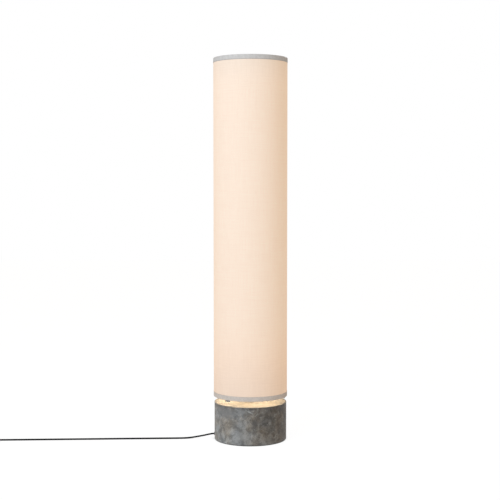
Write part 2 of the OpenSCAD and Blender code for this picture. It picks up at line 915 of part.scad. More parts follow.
// Half section of a tape: up the outside, round the edge and the wire, and up the inside
module tape_section() {
    wire_top = ring_lift + hem_r;
    translate([tape_r - tape_t, 0])
        square([tape_t, tape_h]);
    translate([ring_r, 0])
        square([tape_r - ring_r, tape_t]);
    translate([ring_r, ring_lift])
        difference() {
            circle(r = hem_r, $fn = small_fn * 2);
            circle(r = hem_r - tape_t, $fn = small_fn * 2);
            translate([0, -2 * hem_r])
                square([2 * hem_r, 4 * hem_r]);
        }
    translate([ring_r, wire_top - tape_t])
        square([fabric_in - glue_gap - ring_r, tape_t]);
    translate([fabric_in - glue_gap - tape_t, wire_top - tape_t])
        square([tape_t, tape_h - wire_top + tape_t]);
}

module bottom_tape()
    color([0.74, 0.72, 0.7])
        translate([0, 0, shade_low])
            rotate_extrude($fn = big_fn)
                tape_section();

module top_tape()
    color([0.74, 0.72, 0.7])
        difference() {
            translate([0, 0, lamp_h])
                mirror([0, 0, 1])
                    rotate_extrude($fn = big_fn)
                        tape_section();
            // the tape is cut round each spoke
            three_times(spoke_turn)
                spoke(4 * fit_gap);
        }

// ---------------------------------------------------------------- foot switch

module at_switch()
    translate([switch_x, switch_y, 0])
        children();

// Outline of the switch pulled in by d, standing from z, h high
module switch_slab(z, h, d)
    translate([0, 0, z])
        linear_extrude(h)
            stadium(switch_l - 2 * d, switch_w - 2 * d);

module at_switch_screws()
    for (side = [-1, 1])
        translate([side * switch_screw_off, 0, 0])
            children();

module switch_base()
    color([0.05, 0.05, 0.05])
        at_switch()
            difference() {
                switch_slab(switch_foot_h, switch_split - switch_foot_h, 0);
                difference() {
                    switch_slab(switch_foot_h + switch_wall, switch_split, switch_wall);
                    at_switch_screws()
                        cylinder(d = post_d, h = switch_split, $fn = small_fn);
                }
                translate([-switch_l, 0, switch_cord_z])
                    rotate([0, 90, 0])
                        cylinder(d = cord_d + 2 * fit_gap, h = 2 * switch_l, $fn = small_fn);
                at_switch_screws() {
                    translate([0, 0, -cut])
                        cylinder(
                            d = switch_screw_d + hole_spare, h = switch_split + 2 * cut,
                            $fn = small_fn
                        );
                    cylinder(
                        d = switch_head_d + hole_spare, h = switch_foot_h + switch_wall,
                        $fn = small_fn
                    );
                }
            }

module switch_cover()
    color([0.05, 0.05, 0.05])
        at_switch()
            difference() {
                hull() {
                    switch_slab(switch_split, switch_roof - switch_split - edge_soft, 0);
                    switch_slab(switch_split, switch_roof - switch_split, edge_soft);
                }
                difference() {
                    switch_slab(
                        switch_split - cut, switch_ceiling - switch_split + cut, switch_cover_wall
                    );
                    at_switch_screws()
                        cylinder(d = post_d, h = switch_h, $fn = small_fn);
                }
                translate([0, 0, switch_split])
                    linear_extrude(switch_h)
                        stadium(pedal_l + 2 * move_gap, pedal_w + 2 * move_gap);
                at_switch_screws()
                    translate([0, 0, switch_split - cut])
                        cylinder(
                            d = switch_screw_d + fit_gap, h = switch_ceiling - switch_split,
                            $fn = small_fn
                        );
            }

module switch_pedal()
    color([0.09, 0.09, 0.09])
        at_switch() {
            translate([0, 0, pedal_skirt])
                linear_extrude(switch_h - pedal_skirt - pedal_rim)
                    stadium(pedal_l, pedal_w);
            // flange that the cover holds back
            translate([0, 0, switch_ceiling - move_gap - pedal_flange.z])
                linear_extrude(pedal_flange.z)
                    stadium(pedal_flange.x, pedal_flange.y);
            translate([0, 0, switch_h - pedal_rim])
                linear_extrude(pedal_rim)
                    difference() {
                        stadium(pedal_l - 2 * pedal_rim, pedal_w - 2 * pedal_rim);
                        for (i = [-3:3])
                            translate([i * pedal_groove_step, 0])
                                square([pedal_groove_w, pedal_w / 2], center = true);
                    }
        }

// Points of the spring's wire, wound up from the floor of the base shell
function spring_point(t) = [
    spring_d / 2 * cos(360 * t),
    spring_d / 2 * sin(360 * t),
    switch_foot_h + switch_wall + spring_wire / 2 + 0.1
        + (pedal_skirt - switch_foot_h - switch_wall - spring_wire - 0.2) * t / spring_turns
];

module switch_spring()
    color([0.75, 0.75, 0.78])
        at_switch()
            tube_along([for (i = [0:12 * spring_turns]) spring_point(i / 12)], spring_wire, 6);

module switch_contacts()
    color([0.78, 0.62, 0.3])
        at_switch()
            for (side = [-1, 1])
                translate([
                    side * contact_off - contact_size.x / 2, -contact_size.y / 2,
                    switch_foot_h + switch_wall
                ])
                    cube(contact_size);

module switch_screws()
    color([0.7, 0.7, 0.72])
        at_switch()
            at_switch_screws() {
                translate([0, 0, switch_foot_h]) {
                    cylinder(d = switch_head_d, h = switch_wall - fit_gap, $fn = small_fn);
                    cylinder(
                        d = switch_screw_d,
                        h = switch_ceiling - switch_screw_short - switch_foot_h, $fn = small_fn
                    );
                }
            }

module switch_feet()
    color([0.12, 0.12, 0.12])
        at_switch()
            for (x = [-1, 1], y = [-1, 1])
                translate([x * switch_foot_off.x, y * switch_foot_off.y, 0])
                    cylinder(d = switch_foot_d, h = switch_foot_h, $fn = small_fn);

// ---------------------------------------------------------------- cord

module cord_lead()
    color([0.08, 0.08, 0.08])
        tube_along(smooth(LEAD), cord_d, 8);

module cord_middle()
    color([0.08, 0.08, 0.08])
        tube_along(MIDDLE, cord_d, 8);

module cord_tail()
    color([0.08, 0.08, 0.08])
        tube_along(TAIL, cord_d, 8);

// Radius and height of the coil after t turns; it climbs in the half turn where it reverses
function coil_r(t) = coil_in_r + coil_pitch * abs(t - coil_turns / 2);
function coil_climb(t) = min(max(2 * (t - coil_turns / 2) + 0.5, 0), 1);
function coil_point(t) =
    let (a = coil_from - 360 * t, up = (1 - cos(180 * coil_climb(t))) / 2)
    [
        coil_x + coil_r(t) * cos(a),
        coil_y + coil_r(t) * sin(a),
        coil_low + (coil_high - coil_low) * up
    ];

COIL = concat(
    [[coil_x + coil_lead, coil_y - coil_out_r, coil_low]],
    [for (i = [0:coil_turns * coil_steps]) coil_point(i / coil_steps)],
    [[coil_x - coil_out_r, coil_y + coil_lead, coil_high]]
);

// Least gap between turns of the coil, over points that are half a turn or more apart
coil_gap = min([
    for (i = [0:len(COIL) - 1], j = [i + coil_steps / 2:1:len(COIL) - 1])
        norm(COIL[i] - COIL[j])
]) - cord_d;
echo(coil_gap_mm = coil_gap);  // cord_coil

module cord_coil()
    color([0.08, 0.08, 0.08])
        tube_along(COIL, cord_d, 6);

// A soft strap round the bundle of turns, at the back of the coil
module coil_tie()
    color([0.12, 0.12, 0.12]) {
        room = cord_d / 2 + tie_room;
        low = [coil_y + coil_in_r - room, coil_low - room];
        high = [coil_y + coil_r(0.5) + room, coil_high + room];
        translate([coil_x - tie_w / 2, 0, 0])
            rotate([90, 0, 90])
                linear_extrude(tie_w)
                    difference() {
                        translate(low - [tie_t, tie_t])
                            square(high - low + 2 * [tie_t, tie_t]);
                        translate(low)
                            square(high - low);
                    }
    }

// ---------------------------------------------------------------- plug

// The plug's own axes: its length along X from the end of the boot
module at_plug()
    translate([plug_x, plug_y, plug_z])
        rotate(90)
            children();

module plug_body()
    color([0.05, 0.05, 0.05])
        at_plug() {
            hull() {
                translate([plug_l - plug_front, 0, 0])
                    rotate([90, 0, 90])
                        linear_extrude(plug_front)
                            stadium(plug_w, plug_t);
                translate([boot_l, 0, 0])
                    rotate([90, 0, 90])
                        linear_extrude(plug_neck[2])
                            stadium(plug_w * plug_neck[0], plug_t * plug_neck[1]);
            }
            // ribbed boot over the cord
            rotate([0, 90, 0])
                cylinder(d1 = boot_d[0], d2 = boot_d[1], h = boot_l, $fn = small_fn);
            for (i = [0:boot_ribs - 1])
                translate([boot_rib_from + boot_rib_step * i, 0, 0])
                    rotate([0, 90, 0])
                        cylinder(
                            d = boot_rib[0] + boot_rib[2] * i, h = boot_rib[1], $fn = small_fn
                        );
        }

module plug_pins()
    color([0.75, 0.75, 0.76])
        at_plug()
            for (side = [-1, 1])
                translate([plug_l, side * plug_pin_spread, 0])
                    rotate([0, 90, 0]) {
                        cylinder(d = plug_pin_d, h = plug_pin_l - plug_pin_tip[0], $fn = small_fn);
                        translate([0, 0, plug_pin_l - plug_pin_tip[0]])
                            cylinder(
                                d1 = plug_pin_d, d2 = plug_pin_tip[1], h = plug_pin_tip[0],
                                $fn = small_fn
                            );
                    }

// ---------------------------------------------------------------- nodes

felt_ring();
stone_base();
cover_plate();
cover_screws();
cover_inserts();
threaded_tube();
clamp_washer();
hex_nut();
cord_bushing();
inner_cord();
cord_clamp();
clamp_screws();
terminal_block();
feed_wires();
foot_plate();
stem();
stem_bush();
guide_star();
lower_bracket();
upper_bracket();
grub_screws();
holder_screws();
lower_holders();
upper_holders();
left_diffuser();
left_caps();
left_pins();
left_board();
left_rotors();
right_diffuser();
right_caps();
right_pins();
right_board();
right_rotors();
top_pin();
top_spider();
bottom_ring();
shade_fabric();
top_tape();
bottom_tape();
switch_base();
switch_cover();
switch_pedal();
switch_spring();
switch_contacts();
switch_screws();
switch_feet();
cord_lead();
cord_middle();
cord_coil();
coil_tie();
cord_tail();
plug_body();
plug_pins();
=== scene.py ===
import math

import bmesh
import bpy
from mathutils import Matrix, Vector


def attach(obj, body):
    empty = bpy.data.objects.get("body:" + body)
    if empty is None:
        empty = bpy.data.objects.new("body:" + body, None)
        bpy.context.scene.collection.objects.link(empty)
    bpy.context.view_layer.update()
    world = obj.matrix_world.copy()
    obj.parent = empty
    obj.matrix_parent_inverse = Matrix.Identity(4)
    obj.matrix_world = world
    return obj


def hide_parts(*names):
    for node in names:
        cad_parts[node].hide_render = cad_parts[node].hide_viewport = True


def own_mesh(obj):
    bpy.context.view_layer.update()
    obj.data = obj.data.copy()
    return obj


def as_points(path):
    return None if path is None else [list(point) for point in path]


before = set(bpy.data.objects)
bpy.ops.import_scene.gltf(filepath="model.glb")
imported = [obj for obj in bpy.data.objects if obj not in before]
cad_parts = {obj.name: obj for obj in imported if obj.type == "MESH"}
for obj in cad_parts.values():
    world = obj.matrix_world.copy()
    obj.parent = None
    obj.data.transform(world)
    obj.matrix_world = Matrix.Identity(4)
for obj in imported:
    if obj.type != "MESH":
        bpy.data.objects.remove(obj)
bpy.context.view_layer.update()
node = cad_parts

# ---------------------------------------------------------------- camera
# The photograph was taken from the front, a little above the middle of the lamp, with a short
# telephoto lens. These values put the shade's and the drum's edges where the photograph has them.
lens = bpy.data.cameras.new("camera")
lens.lens = 77.96
lens.sensor_width = 36
lens.shift_x = -0.0008
camera = bpy.data.objects.new("camera", lens)
camera.location = (0, -3.413, 0.787)
camera.rotation_euler = (math.radians(90 - 3.13), 0, 0)
bpy.context.scene.collection.objects.link(camera)
bpy.context.scene.camera = camera

# ---------------------------------------------------------------- cord
# A round mains cord of 5 mm: rubber-covered conductors in a black braided sleeve. It leaves the
# drum level, comes down on the floor in a slow curve and runs to the foot switch.
CORD_D = 0.005


def add(tree, kind, inputs=None, **settings):
    """A shader node with its settings, and its inputs linked or set."""
    new = tree.nodes.new("ShaderNode" + kind)
    for name, value in settings.items():
        setattr(new, name, value)
    for name, value in (inputs or {}).items():
        socket = new.inputs[name]
        if isinstance(value, bpy.types.NodeSocket):
            tree.links.new(value, socket)
        else:
            socket.default_value = value
    return new


def math_node(tree, operation, a, b=0.0, c=0.0):
    """One number worked out from up to three others."""
    new = add(tree, "Math", {0: a, 1: b, 2: c}, operation=operation)
    return new.outputs[0]


def finish(name, colour, roughness, metallic=0.0, specular=0.5, sheen=0.0):
    """A new material: its tree, its Principled shader and the piece's own coordinates."""
    made = bpy.data.materials.new(name)
    made.use_nodes = True
    tree = made.node_tree
    shader = tree.nodes["Principled BSDF"]
    shader.inputs["Base Color"].default_value = (*colour, 1)
    shader.inputs["Roughness"].default_value = roughness
    shader.inputs["Metallic"].default_value = metallic
    shader.inputs["Specular IOR Level"].default_value = specular
    shader.inputs["Sheen Weight"].default_value = sheen
    where = add(tree, "TexCoord").outputs
    return made, tree, shader, where


def ramp(tree, value, dark, light, low=0.0, high=1.0):
    """A colour that goes from one to another as a value goes from low to high."""
    new = add(tree, "ValToRGB", {"Fac": value})
    new.color_ramp.elements[0].position = low
    new.color_ramp.elements[0].color = (*dark, 1)
    new.color_ramp.elements[1].position = high
    new.color_ramp.elements[1].color = (*light, 1)
    return new.outputs["Color"]


def mottled(tree, where, scale, dark, light, detail=4.0, low=0.35, high=0.65, stretch=(1, 1, 1)):
    """A colour that wanders between two others, over lengths of about 1/scale metres."""
    place = add(tree, "Mapping", {"Vector": where, "Scale": stretch}).outputs[0]
    noise = add(tree, "TexNoise", {"Vector": place, "Scale": scale, "Detail": detail})
    return ramp(tree, noise.outputs["Fac"], dark, light, low, high)


def tinted(tree, shader, where, *colours, **stretch):
    """Gives the shader a mottled colour."""
    tree.links.new(mottled(tree, where, *colours, **stretch), shader.inputs["Base Color"])


def rough_between(tree, shader, where, scale, low, high, stretch=(1, 1, 1)):
    """Gives the shader a roughness that varies from place to place."""
    place = add(tree, "Mapping", {"Vector": where, "Scale": stretch}).outputs[0]
    noise = add(tree, "TexNoise", {"Vector": place, "Scale": scale, "Detail": 3.0})
    spread = add(tree, "MapRange", {
        "Value": noise.outputs["Fac"], "From Min": 0.3, "From Max": 0.7,
        "To Min": low, "To Max": high,
    })
    tree.links.new(spread.outputs["Result"], shader.inputs["Roughness"])


def embossed(tree, shader, height, depth, strength):
    """Gives the shader a relief, depth metres deep, from a height between 0 and 1."""
    relief = add(tree, "Bump", {"Height": height, "Distance": depth, "Strength": strength})
    tree.links.new(relief.outputs["Normal"], shader.inputs["Normal"])


def grained(tree, shader, where, scale, depth, strength=0.5, stretch=(1, 1, 1), detail=2.0):
    """Gives the shader a fine, uneven relief, depth metres deep."""
    place = add(tree, "Mapping", {"Vector": where, "Scale": stretch}).outputs[0]
    noise = add(tree, "TexNoise", {"Vector": place, "Scale": scale, "Detail": detail})
    embossed(tree, shader, noise.outputs["Fac"], depth, strength)


def softened(points, times):
    """The route again with a smooth point added in each span, as often as asked."""
    for _ in range(times):
        last = len(points) - 1
        fuller = []
        for i in range(last):
            around = points[max(i - 1, 0)] + points[min(i + 2, last)]
            fuller += [points[i], (9 * (points[i] + points[i + 1]) - around) / 16]
        points = fuller + [points[-1]]
    return points


def piece_from(name, points, faces, material, uvs=None):
    """A new object from points and faces, smooth, with its place in its mesh."""
    mesh = bpy.data.meshes.new(name)
    mesh.from_pydata([tuple(p) for p in points], [], faces)
    if uvs:
        layer = mesh.uv_layers.new(name="UVMap")
        layer.data.foreach_set("uv", [x for pair in uvs for x in pair])
    mesh.materials.append(material)
    mesh.polygons.foreach_set("use_smooth", [True] * len(mesh.polygons))
    mesh.update()
    made = bpy.data.objects.new(name, mesh)
    bpy.context.scene.collection.objects.link(made)
    return made


def tube(name, route, radius, sides, material):
    """A closed tube along a route. Its UV map counts turns round it and metres along it."""
    count = len(route)
    along = [0.0]
    for i in range(1, count):
        along.append(along[-1] + (route[i] - route[i - 1]).length)
    up = Vector((0, 0, 1))
    points, faces, uvs = [], [], []
    for i, centre in enumerate(route):
        ahead = (route[min(i + 1, count - 1)] - route[max(i - 1, 0)]).normalized()
        side = ahead.cross(up).normalized()
        up = side.cross(ahead)
        wide = radius(along[i]) if callable(radius) else radius
        for k in range(sides):
            angle = 2 * math.pi * (k + 0.5) / sides
            points.append(centre + wide * (math.cos(angle) * side + math.sin(angle) * up))
    for i in range(count - 1):
        for k in range(sides):
            a, b = i * sides + k, i * sides + (k + 1) % sides
            faces.append((a, b, b + sides, a + sides))
            uvs += [(k / sides, along[i]), ((k + 1) / sides, along[i]),
                    ((k + 1) / sides, along[i + 1]), (k / sides, along[i + 1])]
    for first, order in ((0, -1), (len(points) - sides, 1)):
        ring = [first + k for k in range(sides)][::order]
        faces.append(ring)
        uvs += [(0.5, along[0 if order < 0 else -1])] * sides
    return piece_from(name, points, faces, material, uvs)


# Sixteen carriers cross in a diamond braid, eight each way
BRAID_ENDS = 8
BRAID_LAY = 0.024
braid, tree, shader, where = finish("black_braid", (0.006, 0.006, 0.0065), 0.9, specular=0.03)
apart = add(tree, "SeparateXYZ", {"Vector": where["UV"]}).outputs
wound = math_node(tree, "MULTIPLY", apart["X"], BRAID_ENDS)
laid = math_node(tree, "DIVIDE", apart["Y"], BRAID_LAY / BRAID_ENDS)
one_way = math_node(tree, "ADD", wound, laid)
other_way = math_node(tree, "SUBTRACT", wound, laid)
crossing = math_node(tree, "ADD", math_node(tree, "FLOOR", one_way), math_node(tree, "FLOOR", other_way))
on_top = math_node(tree, "PINGPONG", crossing, 1.0)
humps = []
for strand in (one_way, other_way):
    across = math_node(tree, "FRACT", strand)
    humps.append(math_node(tree, "SINE", math_node(tree, "MULTIPLY", across, math.pi)))
height = add(tree, "Mix", {0: on_top, 2: humps[0], 3: humps[1]}, data_type="FLOAT").outputs[0]
embossed(tree, shader, height, 0.0003, 0.8)
# The braid's colour is painted darker where it lies low, between the strands: painted shade in its hollows
tree.links.new(ramp(tree, height, (0.003, 0.003, 0.003), (0.012, 0.012, 0.013)), shader.inputs["Base Color"])

LEAD = [Vector(p) for p in (
    (-0.1151, 0, 0.015), (-0.12, -0.0002, 0.0148), (-0.127, -0.0008, 0.0139),
    (-0.136, -0.0015, 0.0122), (-0.148, -0.0023, 0.0098), (-0.16, -0.0031, 0.0077),
    (-0.172, -0.0041, 0.0058), (-0.184, -0.0054, 0.0042), (-0.196, -0.0069, 0.0031),
    (-0.21, -0.0086, 0.0026), (-0.226, -0.01, 0.0025), (-0.255, -0.0114, 0.0025),
    (-0.285, -0.0125, 0.0025), (-0.315, -0.0136, 0.0025), (-0.345, -0.0148, 0.0025),
    (-0.375, -0.0161, 0.0025), (-0.405, -0.0175, 0.0025), (-0.435, -0.019, 0.0025),
    (-0.465, -0.0205, 0.0025), (-0.495, -0.0219, 0.0025), (-0.525, -0.0232, 0.0025),
    (-0.555, -0.0245, 0.0025), (-0.585, -0.0258, 0.0025), (-0.615, -0.0272, 0.0025),
    (-0.645, -0.0286, 0.0025), (-0.675, -0.03, 0.0025), (-0.705, -0.0314, 0.0025),
    (-0.735, -0.0328, 0.0025), (-0.765, -0.0341, 0.0025), (-0.79, -0.0351, 0.0025),
    (-0.805, -0.0356, 0.0028), (-0.816, -0.0359, 0.0045), (-0.825, -0.036, 0.0068),
    (-0.831, -0.036, 0.0079), (-0.835, -0.036, 0.008),
)]
lead = tube("lamp_cord", softened(LEAD, 2), CORD_D / 2, 16, braid)
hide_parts("cord_lead")
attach(lead, "root")

# ---------------------------------------------------------------- supply cord
# The same cord goes on from the switch to the plug. Its spare length is wound in a flat coil of
# two layers, in along the floor and out again on top, and a soft strap holds it together.
COIL_AT = Vector((-0.985, 0.005, 0))
COIL_TURNS = 7.25
COIL_IN, COIL_PITCH = 0.0207, 0.0056
COIL_LOW = 0.0031
COIL_STEPS = 48


def coil_point(t):
    """The middle of the cord after t turns of the coil."""
    radius = COIL_IN + COIL_PITCH * abs(t - COIL_TURNS / 2)
    climb = min(max(2 * (t - COIL_TURNS / 2) + 0.5, 0), 1)
    height = COIL_LOW + COIL_PITCH * (1 - math.cos(math.pi * climb)) / 2
    angle = math.radians(270 - 360 * t)
    return COIL_AT + Vector((radius * math.cos(angle), radius * math.sin(angle), height))


MIDDLE = [Vector(p) for p in (
    (-0.931, -0.036, 0.008), (-0.935, -0.036, 0.008), (-0.943, -0.036, 0.0072),
    (-0.952, -0.036, 0.0056), (-0.962, -0.036, 0.004), (-0.97, -0.036, 0.0032),
    (-0.976, -0.036, 0.0031), (-0.98, -0.036, 0.0031),
)]
TAIL = [Vector(p) for p in (
    (-1.026, 0.01, 0.0087), (-1.026, 0.014, 0.0087), (-1.026, 0.02, 0.0084),
    (-1.026, 0.027, 0.0078), (-1.026, 0.034, 0.0072), (-1.026, 0.041, 0.0069),
    (-1.026, 0.046, 0.00685),
)]
turns = [coil_point(i / COIL_STEPS) for i in range(int(COIL_TURNS * COIL_STEPS) + 1)]
supply_route = softened(MIDDLE, 1) + turns + softened(TAIL, 1)
supply = tube("supply_cord", supply_route, CORD_D / 2, 14, braid)
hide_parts("cord_middle", "cord_coil", "cord_tail")
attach(supply, "root")

# ---------------------------------------------------------------- strap round the coil
# A strap of black hook-and-loop tape, 8 mm wide, drawn round the turns and closed on itself.
TIE_W, TIE_T = 0.008, 0.0005
loop, tree, shader, where = finish("black_strap", (0.02, 0.02, 0.021), 0.85, sheen=0.5)
grained(tree, shader, where["Object"], 1800, 0.0003, 0.8)
tinted(tree, shader, where["Object"], 900, (0.01, 0.01, 0.011), (0.035, 0.035, 0.037))
TIE_GAP, BEND_R = 0.0001, 0.0022
strap_in = COIL_AT.y + COIL_IN - CORD_D / 2 - TIE_GAP
strap_out = COIL_AT.y + (coil_point(0.5) - COIL_AT).xy.length + CORD_D / 2 + TIE_GAP
strap_low, strap_high = TIE_T, COIL_LOW + COIL_PITCH + CORD_D / 2 + TIE_GAP
corners = [
    (strap_in + BEND_R, strap_low + BEND_R, 180, 270), (strap_out - BEND_R, strap_low + BEND_R, 270, 360),
    (strap_out - BEND_R, strap_high - BEND_R, 0, 90), (strap_in + BEND_R, strap_high - BEND_R, 90, 180),
]
line = []
for y, z, first, last in corners:
    for k in range(7):
        angle = math.radians(first + (last - first) * k / 6)
        line.append((y, z, math.cos(angle), math.sin(angle)))
points, faces = [], []
for y, z, out_y, out_z in line:
    for radius in (BEND_R, BEND_R + TIE_T):
        for x in (-TIE_W / 2, TIE_W / 2):
            points.append((COIL_AT.x + x, y + radius * out_y, z + radius * out_z))
for i in range(len(line)):
    a, b = 4 * i, 4 * ((i + 1) % len(line))
    faces += [(a, b, b + 1, a + 1), (a + 3, b + 3, b + 2, a + 2),
              (a + 2, b + 2, b, a), (a + 1, b + 1, b + 3, a + 3)]
strap = piece_from("coil_strap", points, faces, loop)
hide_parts("coil_tie")
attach(strap, "root")

# ---------------------------------------------------------------- plug
# A flat two-pole plug moulded round the end of the cord in black plastic, with a ribbed boot,
# and two nickel-plated pins.
moulded, tree, shader, where = finish("black_moulding", (0.018, 0.018, 0.019), 0.5)
grained(tree, shader, where["Object"], 2600, 0.00008, 0.5)
rough_between(tree, shader, where["Object"], 60, 0.42, 0.58)
tinted(tree, shader, where["Object"], 35, (0.014, 0.014, 0.015), (0.024, 0.024, 0.025))
node["plug_body"].data.materials.clear()
node["plug_body"].data.materials.append(moulded)
nickel, tree, shader, where = finish("nickel_plate", (0.63, 0.61, 0.57), 0.24, 1.0)
rough_between(tree, shader, where["Object"], 500, 0.18, 0.34)
grained(tree, shader, where["Object"], 3000, 0.00003, 0.3)
node["plug_pins"].data.materials.clear()
node["plug_pins"].data.materials.append(nickel)

# ---------------------------------------------------------------- foot switch
# Two moulded shells screwed together round the cord, with a grooved pedal that springs back and
# four rubber feet. The pedal is a little smoother than the shells.


def dress(material, *names):
    """Gives CAD pieces their material."""
    for name in names:
        node[name].data.materials.clear()
        node[name].data.materials.append(material)


dress(moulded, "switch_base", "switch_cover")
worn, tree, shader, where = finish("pedal_moulding", (0.03, 0.03, 0.031), 0.4)
rough_between(tree, shader, where["Object"], 140, 0.3, 0.5)
grained(tree, shader, where["Object"], 3200, 0.00005, 0.4)
tinted(tree, shader, where["Object"], 90, (0.024, 0.024, 0.025), (0.04, 0.04, 0.041))
dress(worn, "switch_pedal")
rubber, tree, shader, where = finish("black_rubber", (0.02, 0.02, 0.02), 0.8)
grained(tree, shader, where["Object"], 1500, 0.0001, 0.6)
tinted(tree, shader, where["Object"], 200, (0.014, 0.014, 0.014), (0.03, 0.03, 0.029))
dress(rubber, "switch_feet")
brass, tree, shader, where = finish("turned_brass", (0.62, 0.42, 0.16), 0.3, 1.0)
rough_between(tree, shader, where["Object"], 90, 0.22, 0.42)
grained(tree, shader, where["Object"], 40, 0.00004, 0.5, stretch=(1, 1, 60))
tinted(tree, shader, where["Object"], 70, (0.52, 0.34, 0.12), (0.68, 0.48, 0.2))
dress(brass, "switch_contacts")
zinc, tree, shader, where = finish("zinc_plate", (0.55, 0.56, 0.58), 0.35, 1.0)
rough_between(tree, shader, where["Object"], 160, 0.28, 0.5)
grained(tree, shader, where["Object"], 900, 0.00004, 0.4)
tinted(tree, shader, where["Object"], 110, (0.46, 0.47, 0.5), (0.62, 0.63, 0.64))
dress(zinc, "switch_screws")

# The spring under the pedal: drawn steel wire, four turns, shortened by the pedal's travel
SPRING_AT = Vector((-0.883, -0.036, 0))
SPRING_D, SPRING_WIRE, SPRING_TURNS, SPRING_STEPS = 0.008, 0.0008, 4, 28
SPRING_LOW, SPRING_HIGH = 0.0036, 0.0129
drawn, tree, shader, where = finish("drawn_steel", (0.6, 0.6, 0.6), 0.3, 1.0)
rough_between(tree, shader, where["Object"], 700, 0.22, 0.4)
grained(tree, shader, where["Object"], 1400, 0.00003, 0.4)
winding = []
for i in range(SPRING_STEPS * SPRING_TURNS + 1):
    angle = 2 * math.pi * i / SPRING_STEPS
    share = i / (SPRING_STEPS * SPRING_TURNS)
    low, high = SPRING_LOW + SPRING_WIRE / 2, SPRING_HIGH - SPRING_WIRE / 2
    winding.append(SPRING_AT + Vector((
        SPRING_D / 2 * math.cos(angle), SPRING_D / 2 * math.sin(angle), low + (high - low) * share,
    )))
spring = tube("pedal_spring", winding, SPRING_WIRE / 2, 8, drawn)
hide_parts("switch_spring")
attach(spring, "root")
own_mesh(spring)
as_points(softened(LEAD, 2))

# ---------------------------------------------------------------- felt ring
# A strip of needled felt glued in a ring under the drum, so that the stone doesn't scratch the
# floor.
FELT_OUT, FELT_IN, FELT_T = 0.107, 0.094, 0.002
felt, tree, shader, where = finish("grey_felt", (0.015, 0.015, 0.015), 0.95, sheen=0.6)
grained(tree, shader, where["Object"], 1500, 0.0005, 1.0, detail=5)
tinted(tree, shader, where["Object"], 1200, (0.008, 0.008, 0.008), (0.03, 0.03, 0.03))


def turned(name, outline, steps, material, closed=False):
    """A piece turned round the lamp's axis from an outline of (radius, height) points.
    Its UV map counts metres round the first point's radius and metres along the outline."""
    span = len(outline)
    along = [0.0]
    for i in range(1, span + 1):
        a, b = outline[i - 1], outline[i % span]
        along.append(along[-1] + math.dist(a, b))
    points, faces, uvs = [], [], []
    for k in range(steps):
        angle = 2 * math.pi * k / steps
        for radius, height in outline:
            points.append((radius * math.cos(angle), radius * math.sin(angle), height))
    arc = 2 * math.pi * outline[0][0] / steps
    for k in range(steps):
        after = (k + 1) % steps
        for i in range(span if closed else span - 1):
            j = (i + 1) % span
            faces.append((k * span + i, k * span + j, after * span + j, after * span + i))
            uvs += [(k * arc, along[i]), (k * arc, along[i + 1]),
                    ((k + 1) * arc, along[i + 1]), ((k + 1) * arc, along[i])]
    return piece_from(name, points, faces, material, uvs)


def facing_out(piece):
    """Turns the faces of a closed piece outwards."""
    work = bmesh.new()
    work.from_mesh(piece.data)
    bmesh.ops.recalc_face_normals(work, faces=work.faces)
    work.to_mesh(piece.data)
    work.free()


FELT_EDGE = 0.0004
felt_outline = [
    (FELT_IN, FELT_EDGE), (FELT_IN + FELT_EDGE, 0), (FELT_OUT - FELT_EDGE, 0), (FELT_OUT, FELT_EDGE),
    (FELT_OUT, FELT_T - FELT_EDGE), (FELT_OUT - FELT_EDGE, FELT_T), (FELT_IN + FELT_EDGE, FELT_T),
    (FELT_IN, FELT_T - FELT_EDGE),
]
felt_ring = turned("felt_strip", felt_outline, 180, felt, closed=True)
facing_out(felt_ring)
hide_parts("felt_ring")
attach(felt_ring, "root")

# ---------------------------------------------------------------- stone drum
# Turned and honed from one block of grey marble, with soft clouds, dark mottles, pale flecks, fine
# pits and a few pale veins. Its colour is painted lighter at one side and darker and browner at the
# other: painted light and shade.
STONE_TOP = 0.12
stone, tree, shader, where = finish("honed_marble", (0.17, 0.165, 0.155), 0.6, specular=0.35)


def layered(below, above, share=1.0, blend="MULTIPLY"):
    """One colour laid over another."""
    mixed = add(tree, "Mix", {0: share, 6: below, 7: above}, data_type="RGBA", blend_type=blend)
    return mixed.outputs[2]


def between(value, low, high, from_low=0.0, to_high=1.0):
    """A value that rises smoothly from one number to another between two limits."""
    return add(tree, "MapRange", {
        "Value": value, "From Min": low, "From Max": high, "To Min": from_low, "To Max": to_high,
    }, interpolation_type="SMOOTHSTEP").outputs["Result"]


# Painted light and shade: a slanted gradient, mostly across the drum, from light grey on the side
# that the key lamp lights to dark brown on the side away from it
drift = add(tree, "TexNoise", {"Vector": where["Object"], "Scale": 9.0, "Detail": 2.0})
bent = add(tree, "VectorMath", {
    0: where["Object"],
    1: add(tree, "VectorMath", {0: drift.outputs["Color"], "Scale": 0.05}, operation="SCALE").outputs[0],
}, operation="ADD").outputs[0]
across = add(tree, "SeparateXYZ", {"Vector": bent}).outputs
slant = math_node(tree, "MULTIPLY_ADD", across["Z"], 0.35, across["X"])
side_light_and_shade = ramp(tree, between(slant, -0.06, 0.16), (0.285, 0.278, 0.267), (0.116, 0.102, 0.087))
clouds = mottled(tree, bent, 17, (0.8, 0.8, 0.81), (1.2, 1.2, 1.19), 5, 0.34, 0.66)
mottles = mottled(tree, bent, 62, (0.66, 0.65, 0.64), (1.15, 1.15, 1.15), 6, 0.41, 0.59)
grains = mottled(tree, where["Object"], 330, (0.8, 0.8, 0.8), (1.18, 1.18, 1.18), 3, 0.34, 0.66)
tint = mottled(tree, where["Object"], 19, (0.97, 1.0, 1.03), (1.08, 0.99, 0.88), 3, 0.42, 0.66)
body = side_light_and_shade
for layer in (clouds, mottles, grains, tint):
    body = layered(body, layer)

